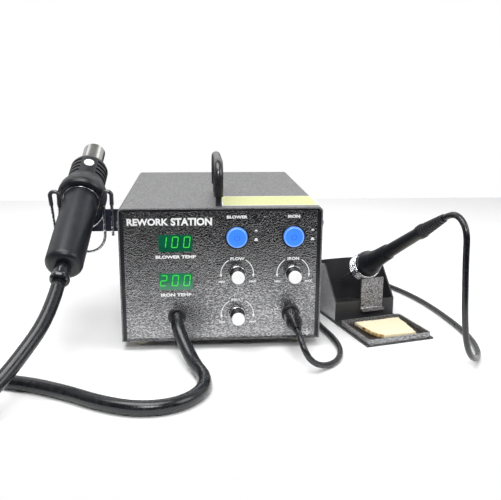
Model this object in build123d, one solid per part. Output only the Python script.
from build123d import *
import math
import os

# Hot air rework station: a steel-cased control unit with a hot air handpiece in a wire cradle on
# its left side, and a soldering iron in its own stand on its right. Millimetres, +Z up.
# Bench frame: x to the right, y backwards, z up, origin on the bench under the middle of the
# case's front edge. The written parts are about model_origin, the middle of the footprint.

model_origin = (22.735, 104.25, 0.0)

# Case
case_width = 187.0
case_depth = 255.0
case_height = 127.0
foot_height = 9.0
sheet = 1.2
cover_radius = 4.0
panel_inset = 2.0
panel_thickness = 1.5
half_width = case_width / 2
case_top = foot_height + case_height
panel_back = panel_inset + panel_thickness
rear_face = case_depth - panel_inset
foot_radius = 7.0
foot_places = [(x, y) for x in (-76.0, 76.0) for y in (22.0, 233.0)]

# Controls on the front panel, as (x, z)
window_size = (31.0, 16.0)
window_places = {"air": (-42.1, 103.2), "solder": (-42.4, 66.7)}
button_places = {"air": (14.3, 108.2), "solder": (66.9, 108.4)}
knob_places = {"air": (14.6, 73.4), "heater": (14.9, 33.6), "solder": (67.1, 73.0)}
button_radius = 9.6
switch_bore = 9.9
switch_radius = 10.3
shaft_radius = 3.0
bushing_radius = 3.5
hose_exit = (-42.0, 32.5)
grommet_bore = 4.0
socket_place = (65.6, 33.0)
socket_radius = 7.5
inlet_place = (-45.0, 34.0)

# Carry handle
handle_x = -2.0
handle_legs = (12.0, 97.0)
handle_top = 179.0
handle_radius = 4.4
neck_top = 144.5

# Screws
screw_radius = 1.5
side_screws = [(8.5, 120.0), (246.5, 120.0), (34.0, 16.0), (221.0, 16.0)]
bracket_screws = [(72.0, 108.5), (72.0, 119.5)]
bracket_span = (103.0, 125.0)

# Hot air handpiece, on an axis that leans back and up
hand_point = (-139.8, 1.4, 96.1)
hand_axis = (0.064, 0.861, 0.505)
hand_across = (0.861, -0.064, 0.0)
grip_radius = 17.0
grip_end = -19.2
grip_top = 79.0
head_start = 73.5
head_end = 125.5
head_radius = 18.8
head_turn = 13.0
head_bore = 10.6
slot_start = 98.8
slot_pitch = 5.6
barrel_radius = 11.15
barrel_wall = 1.6
barrel_end = 153.0
core_span = (84.0, 141.0)
gland_end = -37.0
gland_bore = 7.65
hose_radius = 6.0
body_gap = 0.3

# Handpiece cradle, a bent wire in one upright plane
cradle_y = 57.0
wire_radius = 1.5
cradle_middle = -133.9
cradle_reach = 21.3
cradle_floor = 82.8
cradle_bend = 17.0
ear_top = 142.8
ear_bend = 3.7
right_ear = 7.7
left_ear = 8.7
sleeve_radius = 2.0
sleeve_foot = 129.5
rest_height = 127.6

# Soldering iron stand, turned a little to the right
stand_point = (122.5, 65.5, 0.0)
stand_turn = 14.8
stand_width = 70.0
stand_depth = 72.0
stand_sheet = 1.5
stand_corner = 28.0
guard_peak = 56.5
guard_rear = 49.0
lip_height = 21.0
base_top = 1.6
tray_size = (70.0, 60.0, 5.0)
tray_middle = (35.0, -43.0)
strap_span = (29.0, 55.0)
strap_foot = 10.5
strap_top = 45.4

# Soldering iron, on an axis through the stand's cup
cup_point = (158.8, 76.95, 61.0)
iron_axis = (0.221, -0.837, 0.5)
iron_across = (0.837, 0.221, 0.0)
flare_radius = 13.4
spring_radius = 14.0
handle_end = 111.0
boot_end = 145.0
tip_end = -72.0
iron_cord_radius = 2.75
tail_cut = 100.0

# Air hose: from the front panel to the coil, and from the coil to the handpiece
hose_run_route = [
    (-42.0, 0.0, 32.5),
    (-42.0, -17.0, 32.5),
    (-35.5, -33.0, 20.0),
    (-26.0, -54.0, 8.0),
    (-16.5, -78.0, 6.0),
    (-20.0, -106.0, 6.0),
    (-40.0, -127.0, 6.0),
    (-69.0, -131.0, 6.0),
    (-98.0, -119.0, 6.0),
    (-128.0, -98.0, 6.0),
    (-164.0, -79.0, 6.0),
    (-206.0, -67.5, 6.0),
    (-250.0, -65.0, 6.0),
]
coil_middle = (-250.0, -130.0)
coil_radius = 65.0
coil_layers = 2
hose_rise_start = [
    (-193.1, -161.5, 18.0),
    (-178.0, -134.0, 21.0),
    (-162.0, -104.0, 36.0),
]
rise_straight = 38.0

# Iron cord: from the plug to a small coil behind the stand, and from the coil to the iron's boot
cord_run_route = [
    (65.6, -43.0, 33.0),
    (65.6, -54.5, 33.0),
    (68.2, -64.8, 23.6),
    (74.5, -64.8, 12.6),
    (85.5, -58.5, 5.0),
    (98.0, -48.5, 2.8),
    (107.0, -34.0, 2.8),
    (112.0, -11.0, 2.8),
    (110.0, 17.0, 2.8),
    (103.5, 48.0, 2.8),
    (100.4, 82.0, 2.8),
    (101.0, 118.0, 2.8),
    (105.5, 152.0, 2.8),
    (119.0, 181.0, 2.8),
    (119.0, 212.0, 2.8),
]
cord_coil_middle = (150.0, 212.0)
cord_coil_radius = 31.0
cord_coil_layers = 2
cord_return_start = [
    (171.9, 233.9, 8.25),
    (188.0, 217.8, 8.25),
    (203.0, 200.0, 4.5),
    (217.0, 179.0, 2.8),
    (229.0, 148.0, 2.8),
    (238.0, 112.0, 2.8),
    (243.0, 74.0, 2.8),
    (246.0, 38.0, 2.8),
    (246.0, 4.0, 2.8),
    (241.0, -24.0, 2.8),
    (232.5, -46.0, 3.6),
    (219.5, -62.0, 10.0),
    (209.0, -72.5, 26.0),
    (203.5, -77.5, 50.0),
    (201.0, -78.5, 78.0),
    (199.6, -77.5, 106.0),
    (199.3, -76.6, 127.4),
    (197.1, -68.2, 137.7),
]


def block(x, y, z):
    """A box between two corners; each argument is a (low, high) pair."""
    spans = (x, y, z)
    size = [high - low for low, high in spans]
    middle = [(high + low) / 2 for low, high in spans]
    return Pos(*middle) * Box(*size)


def turned(*outline):
    """A solid of revolution about Z from (radius, height) points."""
    face = make_face(Polyline(*[(radius, 0, height) for radius, height in outline], close=True))
    return revolve(face, Axis.Z)


def drum(radius, low, high):
    """A cylinder on Z between two heights."""
    return Pos(0, 0, (low + high) / 2) * Cylinder(radius, high - low)


def rim(solid, height, radius):
    """Round the circular edges that lie at one height."""
    edges = [e for e in solid.edges().filter_by(GeomType.CIRCLE) if abs(e.center().Z - height) < 0.01]
    return fillet(edges, radius)


def bend_radii(route):
    """Each corner's radius: 0.45 of the shorter run over the tangent of half the turn."""
    runs = [Vector(*end) - Vector(*start) for start, end in zip(route, route[1:])]
    radii = []
    for before, after in zip(runs, runs[1:]):
        half_turn = math.radians(before.get_angle(after)) / 2
        radii.append(0.45 * min(before.length, after.length) / math.tan(half_turn))
    return radii


def swept(route, section, radii):
    """A section carried along straight runs joined by tangent arcs."""
    path = FilletPolyline(*route, radius=radii)
    start = Plane(origin=path @ 0, z_dir=path % 0)
    return sweep(start * section, path=path)


def mirrored(solid):
    """A solid and its mirror image across the middle plane of the case."""
    return solid + mirror(solid, about=Plane.YZ)


def on_panel(place):
    """Frame on the front panel's face at (x, z), with its Z axis out towards the user."""
    return Plane(origin=(place[0], panel_inset, place[1]), x_dir=(1, 0, 0), z_dir=(0, -1, 0))


def along_hand(distance=0.0):
    """Frame on the handpiece's axis, with its Z axis towards the nozzle."""
    point = Vector(*hand_point) + Vector(*hand_axis).normalized() * distance
    return Plane(origin=point, x_dir=hand_across, z_dir=hand_axis)


def along_iron(distance=0.0):
    """Frame on the iron's axis, with its Z axis from the cup towards the cord."""
    point = Vector(*cup_point) + Vector(*iron_axis).normalized() * distance
    return Plane(origin=point, x_dir=iron_across, z_dir=iron_axis)


def in_stand(solid):
    """Place a solid that is written in the stand's own frame."""
    return Pos(*stand_point) * Rot(0, 0, stand_turn) * solid


# --- Screws ---------------------------------------------------------------------------------

def screw():
    """Pan head screw with a cross recess; its head stands on Z = 0."""
    head = rim(drum(3.0, 0, 2.0), 2.0, 1.2)
    cross = Box(3.4, 0.8, 1.6) + Box(0.8, 3.4, 1.6)
    return head + drum(screw_radius, -4.0, 0) - Pos(0, 0, 2.0) * cross


def screw_frames():
    """Where each screw stands: on both sides of the cover, and on the cradle's bracket."""
    frames = []
    for y, z in side_screws:
        for side in (-1, 1):
            frames.append(Plane(origin=(side * half_width, y, z), z_dir=(side, 0, 0)))
    for y, z in bracket_screws:
        frames.append(Plane(origin=(-half_width - 2.0, y, z), z_dir=(-1, 0, 0)))
    return frames


def case_screws():
    return Compound(children=[frame.location * screw() for frame in screw_frames()])


def screw_holes():
    """The holes that the screws' shanks fill."""
    holes = Part()
    for frame in screw_frames():
        holes += frame.location * drum(screw_radius, -4.0, 1.0)
    return holes


# --- Case -----------------------------------------------------------------------------------

def rounded_top(reach, y, z, radius):
    """A block across the case with its two upper long edges rounded."""
    solid = block((-reach, reach), y, z)
    edges = solid.edges().filter_by(Axis.Y).sort_by(Axis.Z)[-2:]
    return fillet(edges, radius)


def top_cover():
    inside = half_width - sheet
    shell = rounded_top(half_width, (0, case_depth), (foot_height, case_top), cover_radius)
    hollow = rounded_top(inside, (-1, case_depth + 1), (0, case_top - sheet), cover_radius - sheet)
    return shell - hollow - screw_holes()


def base_pan():
    inside = half_width - sheet
    floor = block((-inside, inside), (0, case_depth), (foot_height, foot_height + sheet))
    flange = block((inside - sheet, inside), (6, 249), (foot_height + sheet, 22))
    pan = floor + mirrored(flange) - screw_holes()
    for row in range(8):
        pan -= block((-35, 35), (96 + 9 * row, 99 + 9 * row), (0, 20))
    return pan


def panel_sheet(y, flange_y):
    """A panel with side returns, as both the front and the rear have."""
    inside = half_width - sheet
    plate = rounded_top(inside, y, (foot_height + sheet, case_top - sheet), cover_radius - sheet)
    flange = block((inside - sheet, inside), flange_y, (26, 128))
    return plate + mirrored(flange) - screw_holes()


def front_panel():
    panel = panel_sheet((panel_inset, panel_back), (panel_back, 14))
    for place in window_places.values():
        panel -= on_panel(place).location * Box(*window_size, 9)
    holes = [(place, switch_radius) for place in button_places.values()]
    holes += [(place, bushing_radius) for place in knob_places.values()]
    holes += [(hose_exit, 7.5), (socket_place, socket_radius)]
    for place, radius in holes:
        panel -= on_panel(place).location * Cylinder(radius, 9)
    return panel


def rear_panel():
    panel = panel_sheet((rear_face - panel_thickness, rear_face), (241, rear_face - panel_thickness))
    panel -= Pos(inlet_place[0], rear_face, inlet_place[1]) * Box(28, 9, 20)
    for column in range(9):
        for low in (66, 96):
            x = 10 + 8 * column
            panel -= block((x, x + 3), (240, 260), (low, low + 22))
    return panel


def carry_handle():
    front, back = handle_legs
    middle = handle_top - handle_radius
    route = [(handle_x, y, z) for y, z in
             ((front, neck_top), (front, middle), (back, middle), (back, neck_top))]
    bar = swept(route, Circle(handle_radius), 14)
    for y in handle_legs:
        bar += Pos(handle_x, y, 0) * drum(3.0, case_top, neck_top)
    return bar


def rubber_feet():
    foot = turned(
        (0, 0), (foot_radius - 0.8, 0), (foot_radius, 1.2), (foot_radius, foot_height),
        (0, foot_height))
    foot -= drum(2.5, -1, 3)
    return Compound(children=[Pos(x, y, 0) * foot for x, y in foot_places])


# --- Front controls -------------------------------------------------------------------------

def temp_window(place):
    wide, tall = window_size
    lens = Pos(0, 0, -panel_thickness / 2) * Box(wide, tall, panel_thickness)
    flange = Pos(0, 0, -panel_thickness - 0.75) * Box(wide + 4, tall + 4, 1.5)
    return on_panel(place).location * (lens + flange)


def display_modules():
    """A three digit module with its pins, behind each window's flange."""
    module = block((-17, 17), (-9, 9), (-10.5, -3.0))
    for column in range(6):
        for row in (-7, 7):
            module += Pos(-12.5 + 5 * column, row, 0) * drum(0.4, -14, -10.5)
    return Compound(children=[on_panel(place).location * module for place in window_places.values()])


def push_switches():
    """Round switches: a bezel on the panel, and a housing bored for the button."""
    housing = turned(
        (0, -30), (switch_radius, -30), (switch_radius, 0), (11.2, 0), (11.2, 0.8), (10.8, 1.2),
        (switch_bore, 1.2), (switch_bore, -12), (3.5, -12), (3.5, -18), (0, -18))
    return Compound(children=[on_panel(place).location * housing for place in button_places.values()])


def button(place):
    cap = rim(drum(button_radius, -8, 3.6), 3.6, 1.0)
    return on_panel(place).location * (cap + drum(3.0, -14, -8))


def potentiometers():
    pot = turned(
        (0, -11), (8.5, -11), (8.5, -panel_thickness), (bushing_radius, -panel_thickness),
        (bushing_radius, 5), (shaft_radius + 0.05, 5), (shaft_radius + 0.05, -8), (0, -8))
    return Compound(children=[on_panel(place).location * pot for place in knob_places.values()])


def knob_shaft(place):
    return on_panel(place).location * drum(shaft_radius, -7.8, 13.5)


def knob(place):
    """Black knob with a base ring and a fluted body, hollow over the bushing."""
    bore = shaft_radius + 0.02
    body = turned(
        (5.5, 0.5), (7.3, 0.5), (7.3, 2.6), (6.8, 3.2), (6.6, 3.2), (6.1, 13.5), (bore, 13.5),
        (bore, 6), (5.5, 6))
    for flute in range(18):
        body -= Rot(0, 0, 20 * flute) * Pos(6.9, 0, 9.2) * Cylinder(0.45, 9)
    return on_panel(place).location * body


def knob_cap(place):
    cap = rim(drum(6.0, 13.5, 15.5), 15.5, 0.6)
    cap -= Pos(0, 4.4, 15.5) * Box(0.8, 2.6, 0.6)
    return on_panel(place).location * cap


def hose_grommet():
    ring = turned(
        (grommet_bore, 2), (7.4, 2), (8.5, 1), (8.5, 0), (7.5, 0), (7.5, -panel_thickness),
        (8.5, -panel_thickness), (8.5, -3.5), (grommet_bore, -3.5))
    return on_panel(hose_exit).location * ring


def iron_socket():
    shell = turned(
        (0, -20), (socket_radius, -20), (socket_radius, 0), (8.8, 0), (8.8, 2), (8.3, 2.5), (6.0, 2.5),
        (6.0, -12), (0, -12))
    return on_panel(socket_place).location * shell


# --- Inside the case ------------------------------------------------------------------------

def transformer():
    """Laminated core with its winding, bolted to the pan."""
    floor = foot_height + sheet
    core = block((20, 76), (150, 200), (floor, floor + 58))
    winding = block((33, 63), (138, 212), (floor + 12, floor + 46))
    feet = block((12, 84), (160, 190), (floor, floor + 2))
    return core + winding + feet


def air_pump():
    """Diaphragm pump: a ribbed body with two heads and an outlet stub."""
    floor = foot_height + sheet
    body = block((-76, -8), (72, 150), (floor + 6, floor + 52))
    for rib in range(6):
        body += block((-78, -6), (76 + 12 * rib, 80 + 12 * rib), (floor + 8, floor + 50))
    for x in (-68, -16):
        for y in (80, 142):
            body += Pos(x, y, 0) * drum(5, floor, floor + 6)
    outlet = Plane(origin=(hose_exit[0], 72, hose_exit[1]), z_dir=(0, -1, 0))
    return body + outlet.location * drum(5, 0, 8)


def pump_air_tube():
    frame = Plane(origin=(hose_exit[0], 64, hose_exit[1]), z_dir=(0, -1, 0))
    return frame.location * (drum(5.5, 0, 64 - panel_back - 2) - drum(3.5, -1, 80))


def control_board():
    """Circuit board on edge, with a heat sink, capacitors and terminals."""
    floor = foot_height + sheet
    board = block((-80, 4), (214, 215.6), (floor, floor + 84))
    board += block((-70, -40), (196, 214), (floor + 44, floor + 74))
    for x in (-24, -8):
        board += Plane(origin=(x, 214, floor + 60), z_dir=(0, -1, 0)).location * drum(6, 0, 20)
    board += block((-60, -12), (204, 214), (floor + 10, floor + 22))
    return board


def mains_inlet():
    """Three pin appliance inlet in the rear panel, with its flange outside."""
    x, z = inlet_place
    housing = block((x - 14, x + 14), (228, rear_face), (z - 10, z + 10))
    housing += block((x - 17, x + 17), (rear_face, rear_face + 2), (z - 13, z + 13))
    housing -= block((x - 12, x + 12), (236, rear_face + 3), (z - 8, z + 8))
    for pin_x, pin_z in ((-7, -2), (7, -2), (0, 2)):
        housing += block((x + pin_x - 1, x + pin_x + 1), (236, 249), (z + pin_z - 2, z + pin_z + 2))
    return housing


# --- Handpiece holder -----------------------------------------------------------------------

def holder_bracket():
    """A plate behind the cradle's wire, cut away round the grip, and a flange on the case's side."""
    front = cradle_y + wire_radius
    low, high = bracket_span
    outline = Polyline(
        (-half_width, low), (-126, low), (-126, low + 7), (-117.5, high), (-half_width, high), close=True)
    plate = Pos(0, front + 2, 0) * extrude(Plane.XZ * make_face(outline), 2)
    flange = block((-half_width - 2, -half_width), (front, front + 24), bracket_span)
    return plate + flange - screw_holes()


def wire_route():
    """The cradle wire's centre line, from the right ear to the left."""
    right = cradle_middle + cradle_reach
    left = cradle_middle - cradle_reach
    outline = [
        (right + right_ear, 99), (right + right_ear, ear_top), (right, ear_top),
        (right, cradle_floor), (left, cradle_floor), (left, ear_top), (left - left_ear, ear_top),
        (left - left_ear + 3.7, 102)]
    return [(x, cradle_y, z) for x, z in outline]


def cradle_wire():
    bends = [ear_bend, ear_bend, cradle_bend, cradle_bend, ear_bend, ear_bend]
    wire = swept(wire_route(), Circle(wire_radius), bends)
    ends = [(cradle_middle + side * cradle_reach, cradle_y, rest_height) for side in (-1, 1)]
    lowest = (cradle_middle, cradle_y, rest_height - cradle_reach)
    arc = ThreePointArc(ends[0], lowest, ends[1])
    start = Plane(origin=arc @ 0, z_dir=arc % 0)
    return wire + sweep(start * Circle(1.25), path=arc)


def ear_sleeves():
    """Rubber tubes pushed over the cradle's two ears."""
    section = Circle(sleeve_radius) - Circle(wire_radius)
    route = wire_route()
    sleeves = []
    for foot, tall, short in (route[:3], route[:4:-1]):
        share = (tall[2] - sleeve_foot) / (tall[2] - foot[2])
        outside = (tall[0] + (foot[0] - tall[0]) * share, cradle_y, sleeve_foot)
        inside = (short[0], cradle_y, sleeve_foot)
        sleeves.append(swept([outside, tall, short, inside], section, [ear_bend, ear_bend]))
    return Compound(children=sleeves)


# --- Hot air handpiece ----------------------------------------------------------------------

def head_shell(side):
    """One half of the moulded head, split down its front, with vent slots at the nozzle end."""
    outer = turned(
        (grip_radius + 0.1, head_start), (20.6, head_start), (22.8, 75), (24, 77.5), (24, 81),
        (23.2, 86), (20.6, 92.5), (head_radius, 96.5), (head_radius, 120.5), (17.2, 124.1),
        (15, head_end), (head_bore, head_end), (head_bore, head_end - 3), (16.3, head_end - 3),
        (16.3, 95.5), (21, 84.5), (21.4, 80.5), (20, grip_top), (grip_radius + 0.1, grip_top))
    half = outer & block((0, 40 * side) if side > 0 else (-40, 0), (-40, 40), (70, 150))
    for slot in range(4):
        low = slot_start + slot_pitch * slot
        half -= block((8, 30) if side > 0 else (-30, -8), (-20, 11.5), (low, low + 2.4))
    return along_hand().location * Rot(0, 0, head_turn) * half


def grip():
    wall = grip_end + 7.2
    sleeve = turned(
        (gland_bore, grip_end), (grip_radius, grip_end), (grip_radius, grip_top), (13.5, grip_top),
        (13.5, wall), (gland_bore, wall))
    outer_edges = [e for e in sleeve.edges().filter_by(GeomType.CIRCLE)
                   if abs(e.center().Z - grip_end) < 0.01 and e.radius > 10]
    return along_hand().location * fillet(outer_edges, 6.0)


def heater_barrel():
    """Steel tube: a full bore seat for a nozzle outside, and a thinner shank inside the head."""
    inner = barrel_radius - barrel_wall
    shank = barrel_radius - 0.6
    tube = turned(
        (inner, 88), (shank, 88), (shank, head_end), (barrel_radius, head_end),
        (barrel_radius, barrel_end), (inner, barrel_end))
    return along_hand().location * tube


def heater_core():
    """Ceramic former that carries the heating element, on a stem from the grip."""
    low, high = core_span
    core = drum(8, low, high) + drum(4.5, 40, low) + drum(13.2, 40, 44)
    return along_hand().location * core


def tail_gland():
    """Hose tail: a bead at its mouth, a tube, and a flange inside the grip."""
    tube_radius = gland_bore - 0.05
    wall = grip_end + 7.2
    gland = turned(
        (0, gland_end), (7.4, gland_end), (8.6, gland_end + 1.5), (9.0, gland_end + 3.5),
        (8.6, gland_end + 5.6), (tube_radius, gland_end + 7.0), (tube_radius, wall + 1),
        (10, wall + 1), (10, wall + 4), (0, wall + 4))
    return along_hand().location * gland


# --- Iron stand -----------------------------------------------------------------------------

def stand_outline(grow):
    """The guard's plan: a U with round rear corners, as a face grown by an offset."""
    corner = stand_corner + grow
    plan = Rectangle(stand_width + 2 * grow, 2 * stand_depth + 2 * grow)
    rear = plan.vertices().sort_by(Axis.Y)[-2:]
    return Pos(stand_width / 2, 0) * fillet(rear, corner)


def stand_base():
    plate = extrude(stand_outline(2.0), base_top)
    front = block((-10, 90), (-200, -76), (-1, 5))
    return in_stand(plate - front)


def stand_guard():
    """Bent sheet round the sides and back, with a low lip across the front."""
    wall = extrude(stand_outline(0) - stand_outline(-stand_sheet), 62)
    behind = stand_depth + 5
    outline = Polyline(
        (0, base_top), (0, lip_height), (30, guard_peak), (behind, guard_rear), (behind, base_top),
        close=True)
    kept = extrude(Plane.YZ * make_face(outline), stand_width)
    lip = block((stand_sheet, stand_width - stand_sheet), (0, stand_sheet), (base_top, lip_height))
    return in_stand((wall & kept) + lip)


def stand_strap():
    """Upright strap on the front of the lip, with its foot bent forward above the tray."""
    upright = block(strap_span, (-2, 0), (strap_foot, strap_top))
    foot = block(strap_span, (-7, -2), (strap_foot, strap_foot + 2))
    strap = upright + foot
    corner = (sum(strap_span) / 2, -2, strap_foot + 2)
    inner = strap.edges().filter_by(Axis.X).sort_by_distance(corner)[0]
    return in_stand(fillet(inner, 1.8))


def iron_cup():
    """Funnel under the iron's flare, that its barrel goes through."""
    funnel = turned(
        (11.6, 1.6), (12.8, 1.6), (12.8, -2), (9.9, -16), (7.2, -16), (7.2, -14.5), (8.9, -14.5),
        (11.6, -1.5))
    return along_iron().location * funnel


def iron_spring():
    """Coil of chromed wire round the cup, held at its lowest point by the strap."""
    path = Helix(pitch=3.0, height=15.0, radius=spring_radius)
    start = Plane(origin=path @ 0, z_dir=path % 0)
    coil = sweep(start * Circle(0.9), path=path, is_frenet=True)
    return along_iron(-17.0).location * coil


def sponge_tray():
    wide, deep, tall = tray_size
    outer = block((-wide / 2, wide / 2), (-deep / 2, deep / 2), (0, tall))
    outer = fillet(outer.edges().filter_by(Axis.Z), 3.0)
    hollow = block((1.5 - wide / 2, wide / 2 - 1.5), (1.5 - deep / 2, deep / 2 - 1.5), (1.2, tall + 1))
    hollow = fillet(hollow.edges().filter_by(Axis.Z), 2.0)
    return in_stand(Pos(*tray_middle, base_top) * (outer - hollow))


def sponge():
    """Damp cleaning sponge, with its front left edge torn short."""
    outline = Polyline(
        (11, -22), (64, -22), (57, -67), (22, -66), (17, -61), (14, -52), (12, -38), close=True)
    return in_stand(Pos(0, 0, base_top + 1.2) * extrude(make_face(outline), 4.6))


# --- Soldering iron -------------------------------------------------------------------------

def iron_sleeve():
    """Front sleeve that flares into a heat shield."""
    sleeve = turned(
        (6.9, 2), (flare_radius, 2), (flare_radius, 3.5), (11.6, 7), (10.0, 13), (8.8, 24), (8.0, 43),
        (6.9, 43))
    return along_iron().location * sleeve


def iron_handle():
    handle = turned(
        (0, 10), (6.85, 10), (6.85, 43), (5.65, 104.5), (6.7, 105.5), (6.7, handle_end), (0, handle_end))
    return along_iron().location * handle


def iron_boot():
    """Ribbed strain relief that tapers to the cord."""
    wide, narrow = 6.2, 3.75
    taper = (wide - narrow) / (boot_end - handle_end)
    boot = turned((0, handle_end), (wide, handle_end), (narrow, boot_end), (0, boot_end))
    for rib in range(9):
        middle = 3.0 + 3.4 * rib
        inner = wide - taper * middle - 0.8
        low = handle_end + middle - 0.8
        boot -= turned((inner, low), (wide + 1, low), (wide + 1, low + 1.6), (inner, low + 1.6))
    return along_iron().location * boot


def iron_barrel():
    tube = turned((0, -40), (2.6, -40), (2.6, -2), (4.5, 0), (6.0, 2), (6.0, 10), (0, 10))
    return along_iron().location * tube


def iron_tip():
    tip = turned((0, tip_end), (0.4, tip_end), (2.0, -60), (2.6, -52), (2.6, -40), (0, -40))
    return along_iron().location * tip


# --- Hose and cord --------------------------------------------------------------------------

def hose_rise_route():
    """From the coil up to the handpiece's gland, straight into it at the end."""
    gland = along_hand(gland_end - body_gap).origin
    before = along_hand(gland_end - rise_straight).origin
    return hose_rise_start + [tuple(before), tuple(gland)]


def coil_ring(middle, radius, cord_radius, layers):
    """The plain ring that a coil of this cord fills."""
    low = radius - cord_radius
    high = radius + cord_radius
    top = 2 * cord_radius * layers
    ring = turned((low, 0), (high, 0), (high, top), (low, top))
    ring = fillet(ring.edges().filter_by(GeomType.CIRCLE), 0.8 * cord_radius)
    return Pos(*middle, 0) * ring


def cord_return_route():
    """From the small coil to the iron's boot, which it meets on the iron's axis."""
    turn = along_iron(boot_end + 13).origin
    return cord_return_start + [tuple(turn), tuple(along_iron(boot_end).origin)]


def tube(route, radius):
    return swept(route, Circle(radius), bend_radii(route))


def cord_return_pieces():
    """The cord that lies still, and the short stretch at the boot that moves with the iron."""
    cord = tube(cord_return_route(), iron_cord_radius)
    high = block((150, 260), (-120, 0), (tail_cut + body_gap, 200))
    low = block((0, 400), (-200, 400), (-5, tail_cut))
    return cord & low, cord & high


def iron_plug():
    """Plug body inside the coupling ring, with a tapered boot."""
    plug = turned(
        (0, -8), (5.4, -8), (5.4, 2.5), (5.95, 2.5), (5.95, 24), (7.5, 24), (7.5, 26), (6.6, 27.5),
        (6.0, 29), (3.6, 45), (0, 45))
    return on_panel(socket_place).location * plug


def plug_ring():
    ring = turned((6.0, 2.7), (7.2, 2.7), (7.4, 3.4), (7.4, 22.5), (7.0, 23.8), (6.0, 23.8))
    for flute in range(16):
        ring -= Rot(0, 0, 22.5 * flute) * Pos(7.7, 0, 8.0) * Cylinder(0.6, 7)
    return on_panel(socket_place).location * ring


# --- Write every sub-part -------------------------------------------------------------------

def all_parts():
    cord_return, cord_tail = cord_return_pieces()
    parts = {
        "top_cover": top_cover(), "base_pan": base_pan(), "front_panel": front_panel(),
        "rear_panel": rear_panel(), "carry_handle": carry_handle(), "rubber_feet": rubber_feet(),
        "case_screws": case_screws(), "potentiometers": potentiometers(),
        "display_modules": display_modules(), "push_switches": push_switches(),
        "hose_grommet": hose_grommet(), "iron_socket": iron_socket(),
        "transformer": transformer(), "air_pump": air_pump(), "pump_air_tube": pump_air_tube(),
        "control_board": control_board(), "mains_inlet": mains_inlet(),
        "holder_bracket": holder_bracket(), "cradle_wire": cradle_wire(), "ear_sleeves": ear_sleeves(),
        "head_shell_left": head_shell(-1), "head_shell_right": head_shell(1), "grip": grip(),
        "heater_barrel": heater_barrel(), "heater_core": heater_core(), "tail_gland": tail_gland(),
        "stand_base": stand_base(), "stand_guard": stand_guard(), "stand_strap": stand_strap(),
        "iron_cup": iron_cup(), "iron_spring": iron_spring(), "sponge_tray": sponge_tray(),
        "sponge": sponge(), "iron_sleeve": iron_sleeve(), "iron_handle": iron_handle(),
        "iron_boot": iron_boot(), "iron_barrel": iron_barrel(), "iron_tip": iron_tip(),
        "hose_run": tube(hose_run_route, hose_radius),
        "hose_coil": coil_ring(coil_middle, coil_radius, hose_radius, coil_layers),
        "hose_rise": tube(hose_rise_route(), hose_radius),
        "iron_cord": tube(cord_run_route, iron_cord_radius),
        "iron_cord_coil": coil_ring(
            cord_coil_middle, cord_coil_radius, iron_cord_radius, cord_coil_layers),
        "iron_cord_return": cord_return, "iron_cord_tail": cord_tail,
        "iron_plug": iron_plug(), "plug_ring": plug_ring(),
    }
    for name, place in window_places.items():
        parts[name + "_temp_window"] = temp_window(place)
    for name, place in button_places.items():
        parts[name + "_button"] = button(place)
    for name, place in knob_places.items():
        parts[name + "_shaft"] = knob_shaft(place)
        parts[name + "_knob"] = knob(place)
        parts[name + "_knob_cap"] = knob_cap(place)
    return parts


os.makedirs("parts", exist_ok=True)
to_model = Pos(*[-value for value in model_origin])
for part_name, solid in all_parts().items():
    export_step(to_model * solid, "parts/" + part_name + ".step")

all_routes = {
    "hose run": hose_run_route, "hose rise": hose_rise_route(), "iron cord": cord_run_route,
    "iron cord return": cord_return_route()}
for route_name, route in all_routes.items():
    print(route_name, "bend radii", [round(radius, 1) for radius in bend_radii(route)])
